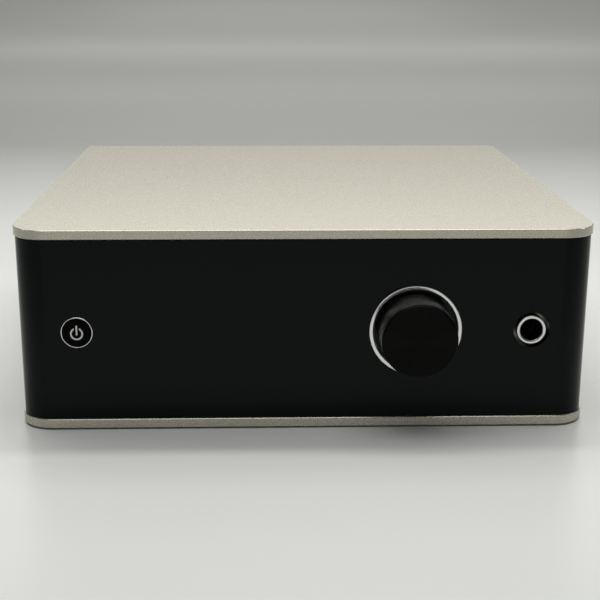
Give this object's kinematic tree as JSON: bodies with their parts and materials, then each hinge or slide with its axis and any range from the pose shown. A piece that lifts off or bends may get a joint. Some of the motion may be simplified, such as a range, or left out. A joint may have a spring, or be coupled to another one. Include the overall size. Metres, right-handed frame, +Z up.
{
  "type": "desktop dac",
  "caption": "Desktop digital-to-analogue converter: two pale plates round a black body, with a volume knob, power button, hidden display and headphone socket.",
  "frame": {"origin": "on the surface it stands on, under the centre of the overall box", "axes": "+X to the unit's right seen from the front, +Y from the front to the back, +Z up"},
  "size_m": [0.17, 0.182, 0.0605],
  "materials": {
    "plate_paint": "bead-blasted, satin champagne anodising",
    "foot_rubber": "matt",
    "steel": "zinc plated",
    "black_gloss": "polished black",
    "black_metal": "fine satin black",
    "knob_metal": "black anodised, turned face",
    "bright_metal": "polished",
    "black_plastic": "moulded",
    "grey_print": "matt grey inlay",
    "board": "solder mask",
    "smoked_glass": "dark display glass",
    "gold": "gold plated",
    "red_plastic": "moulded",
    "white_plastic": "moulded",
    "orange_plastic": "moulded",
    "grey_cable": "ribbed"
  },
  "bodies": {
    "case": {"top_plate": "plate_paint", "bottom_plate": "plate_paint", "foot_pads": "foot_rubber", "pillars": "bright_metal", "pillar_screws": "steel", "front_panel": "black_gloss", "side_panel_left": "black_metal", "side_panel_right": "black_metal", "rear_panel": "black_metal", "chassis_tray": "steel", "front_subpanel": "steel", "inner_screws": "steel", "rear_screws": "black_metal", "knob_ring": "bright_metal", "encoder_body": "steel", "encoder_bushing": "bright_metal", "encoder_washer": "steel", "encoder_nut": "steel", "button_bezel": "bright_metal", "switch_body": "black_plastic", "display_glass": "smoked_glass", "display_board": "board", "display_spacers": "steel", "jack_bushing": "bright_metal", "jack_nut": "steel", "jack_body": "black_plastic", "jack_pins": "steel", "main_board": "board", "control_board": "board", "headphone_board": "board", "board_standoffs": "gold", "control_standoffs": "gold", "board_screws": "steel", "chips": "black_plastic", "capacitors": "black_plastic", "crystals": "bright_metal", "heat_sink": "knob_metal", "regulators": "black_plastic", "ribbon_cable": "grey_cable", "phono_barrels": "gold", "phono_contacts": "gold", "phono_core_right": "red_plastic", "phono_core_left": "white_plastic", "phono_core_coax": "orange_plastic", "phono_housings": "black_plastic", "phono_screws": "black_metal", "optical_inputs": "black_plastic", "data_shell": "bright_metal", "data_tongue": "white_plastic", "power_socket": "black_plastic", "power_pin": "bright_metal"},
    "volume_knob": {"knob_shell": "knob_metal", "knob_hub": "black_plastic", "encoder_shaft": "steel"},
    "power_button": {"button_cap": "black_plastic", "button_symbol": "grey_print", "switch_plunger": "white_plastic"},
    "optical_flap_1": {"optical_shutter_1": "black_plastic"},
    "optical_flap_2": {"optical_shutter_2": "black_plastic"}
  },
  "joints": [
    {"name": "volume_turn", "type": "hinge", "parent": "case", "child": "volume_knob", "pos_m": [0.0323, -0.07, 0.0301], "axis": [0, 1, 0], "continuous": true},
    {"name": "power_press", "type": "slide", "parent": "case", "child": "power_button", "axis": [0, 1, 0], "range_m": [0, 0.0005], "stiffness_N_per_m": 500, "springref_m": -0.001},
    {"name": "optical_flap_1_swing", "type": "hinge", "parent": "case", "child": "optical_flap_1", "pos_m": [0.001, 0.0836, 0.02845], "axis": [-1, 0, 0], "range_deg": [0, 85], "stiffness_Nm_per_rad": 0.001, "springref_deg": -17.19},
    {"name": "optical_flap_2_swing", "type": "hinge", "parent": "case", "child": "optical_flap_2", "pos_m": [-0.018, 0.0836, 0.02845], "axis": [-1, 0, 0], "range_deg": [0, 85], "stiffness_Nm_per_rad": 0.001, "springref_deg": -17.19}
  ]
}
